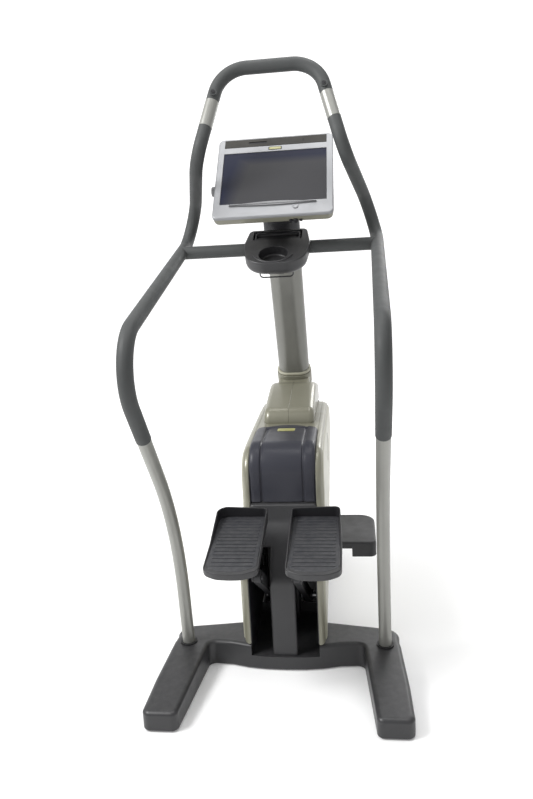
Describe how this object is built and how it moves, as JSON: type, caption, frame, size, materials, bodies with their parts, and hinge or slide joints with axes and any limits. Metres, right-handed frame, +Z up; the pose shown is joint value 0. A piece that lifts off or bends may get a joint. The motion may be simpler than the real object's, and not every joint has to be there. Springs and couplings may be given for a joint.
{
  "type": "stair climber",
  "caption": "Stair climber with two independent pedals on levelling arms, an arched handrail with grips, a drinks tray and a leaning screen console.",
  "frame": {"origin": "on the floor under the middle of the machine's bounding box", "axes": "+X to the user's right, +Y the way the user faces, +Z up"},
  "size_m": [0.8258, 1.3773, 2.0577],
  "materials": {
    "cover": "fine texture",
    "champagne": "satin",
    "cream": "satin",
    "console": "satin silver",
    "tube": "silver powder coat",
    "grip": "soft matt",
    "structure": "dark powder coat",
    "machined": "machined",
    "casting": "cast",
    "black_rubber": "matt",
    "black_steel": "gloss black",
    "screen": "dark gloss",
    "switch": "matt"
  },
  "bodies": {
    "frame": {"base_frame": "structure", "base_cover": "cover", "foot_pads": "black_rubber", "mast": "structure", "column": "tube", "column_collar": "cream", "neck": "cover", "head_bracket": "structure", "rail_left": "tube", "rail_right": "tube", "rail_rings": "black_rubber", "grip_left": "grip", "grip_right": "grip", "grip_top": "grip", "sensor_plates": "tube", "crossbar": "tube", "crossbar_sleeves": "grip", "tray": "cover", "wire_hook": "black_steel", "console_housing": "console", "console_bezel": "console", "screen": "screen", "top_strip": "cover", "badge_plates": "cream", "shell_left": "champagne", "shell_right": "champagne", "side_panel_left": "cream", "side_panel_right": "cream", "dash_panel": "cover", "strip_cover": "cover", "hump_left": "champagne", "hump_right": "champagne", "nose_panel": "cover", "pivot_shaft": "machined", "alternator": "casting", "drive_belt": "black_rubber", "return_left": "black_steel", "return_right": "black_steel", "strap_left": "black_rubber", "strap_right": "black_rubber", "side_step": "cover", "side_step_mount": "structure"},
    "arm_left": {"arm_left": "structure"},
    "pedal_left": {"pedal_left": "cover", "pedal_bracket_left": "structure"},
    "link_left": {"link_left": "structure"},
    "clutch_left": {"clutch_left": "machined"},
    "wheel_left": {"wheel_left": "black_rubber"},
    "toggle_left": {"toggle_left": "switch"},
    "arm_right": {"arm_right": "structure"},
    "pedal_right": {"pedal_right": "cover", "pedal_bracket_right": "structure"},
    "link_right": {"link_right": "structure"},
    "clutch_right": {"clutch_right": "machined"},
    "wheel_right": {"wheel_right": "black_rubber"},
    "toggle_right": {"toggle_right": "switch"},
    "drive_wheel": {"drive_wheel": "casting"},
    "rotor": {"rotor": "machined"},
    "console_button": {"console_button": "console"},
    "volume_knob": {"volume_knob": "cover"}
  },
  "joints": [
    {"name": "arm_left_swing", "type": "hinge", "parent": "frame", "child": "arm_left", "pos_m": [-0.063, 0.06, 0.125], "axis": [1, 0, 0], "range_deg": [0, 30], "stiffness_Nm_per_rad": 40, "springref_deg": -68.75, "deforming": ["strap_left"]},
    {"name": "pedal_left_level", "type": "hinge", "parent": "arm_left", "child": "pedal_left", "pos_m": [-0.063, -0.36, 0.405], "axis": [1, 0, 0], "range_deg": [-30, 0]},
    {"name": "link_left_swing", "type": "hinge", "parent": "frame", "child": "link_left", "pos_m": [-0.087, 0.08, 0.189], "axis": [1, 0, 0], "range_deg": [0, 30]},
    {"name": "clutch_left_spin", "type": "hinge", "parent": "frame", "child": "clutch_left", "pos_m": [-0.064, -0.02, 0.48], "axis": [1, 0, 0], "range_deg": [0, 130]},
    {"name": "wheel_left_spin", "type": "hinge", "parent": "frame", "child": "wheel_left", "pos_m": [-0.142, 0.648, 0.032], "axis": [1, 0, 0], "continuous": true},
    {"name": "toggle_left_press", "type": "slide", "parent": "frame", "child": "toggle_left", "axis": [-0.0979, 0.9279, -0.3597], "range_m": [0, 0.002], "stiffness_N_per_m": 400, "springref_m": -0.002},
    {"name": "arm_right_swing", "type": "hinge", "parent": "frame", "child": "arm_right", "pos_m": [0.063, 0.06, 0.125], "axis": [1, 0, 0], "range_deg": [0, 30], "stiffness_Nm_per_rad": 40, "springref_deg": -68.75, "deforming": ["strap_right"]},
    {"name": "pedal_right_level", "type": "hinge", "parent": "arm_right", "child": "pedal_right", "pos_m": [0.063, -0.36, 0.405], "axis": [1, 0, 0], "range_deg": [-30, 0]},
    {"name": "link_right_swing", "type": "hinge", "parent": "frame", "child": "link_right", "pos_m": [0.087, 0.08, 0.189], "axis": [1, 0, 0], "range_deg": [0, 30]},
    {"name": "clutch_right_spin", "type": "hinge", "parent": "frame", "child": "clutch_right", "pos_m": [0.064, -0.02, 0.48], "axis": [1, 0, 0], "range_deg": [0, 130]},
    {"name": "wheel_right_spin", "type": "hinge", "parent": "frame", "child": "wheel_right", "pos_m": [0.142, 0.648, 0.032], "axis": [1, 0, 0], "continuous": true},
    {"name": "toggle_right_press", "type": "slide", "parent": "frame", "child": "toggle_right", "axis": [0.0979, 0.9279, -0.3597], "range_m": [0, 0.002], "stiffness_N_per_m": 400, "springref_m": -0.002},
    {"name": "drive_wheel_spin", "type": "hinge", "parent": "frame", "child": "drive_wheel", "pos_m": [0, -0.02, 0.48], "axis": [1, 0, 0], "continuous": true},
    {"name": "rotor_spin", "type": "hinge", "parent": "frame", "child": "rotor", "pos_m": [0, 0.3, 0.36], "axis": [1, 0, 0], "continuous": true},
    {"name": "console_button_press", "type": "slide", "parent": "frame", "child": "console_button", "axis": [0, 0.7466, -0.6652], "range_m": [0, 0.002], "stiffness_N_per_m": 400, "springref_m": -0.002},
    {"name": "volume_knob_turn", "type": "hinge", "parent": "frame", "child": "volume_knob", "pos_m": [-0.212, 0.11557, 1.63459], "axis": [1, 0, 0], "range_deg": [-135, 135]}
  ],
  "couplings": [
    {"joint": "pedal_left_level", "follows": "arm_left_swing", "ratio": -1},
    {"joint": "link_left_swing", "follows": "arm_left_swing", "ratio": 1},
    {"joint": "clutch_left_spin", "follows": "arm_left_swing", "ratio": 4.31},
    {"joint": "pedal_right_level", "follows": "arm_right_swing", "ratio": -1},
    {"joint": "link_right_swing", "follows": "arm_right_swing", "ratio": 1},
    {"joint": "clutch_right_spin", "follows": "arm_right_swing", "ratio": 4.31},
    {"joint": "rotor_spin", "follows": "drive_wheel_spin", "ratio": 3.04}
  ]
}
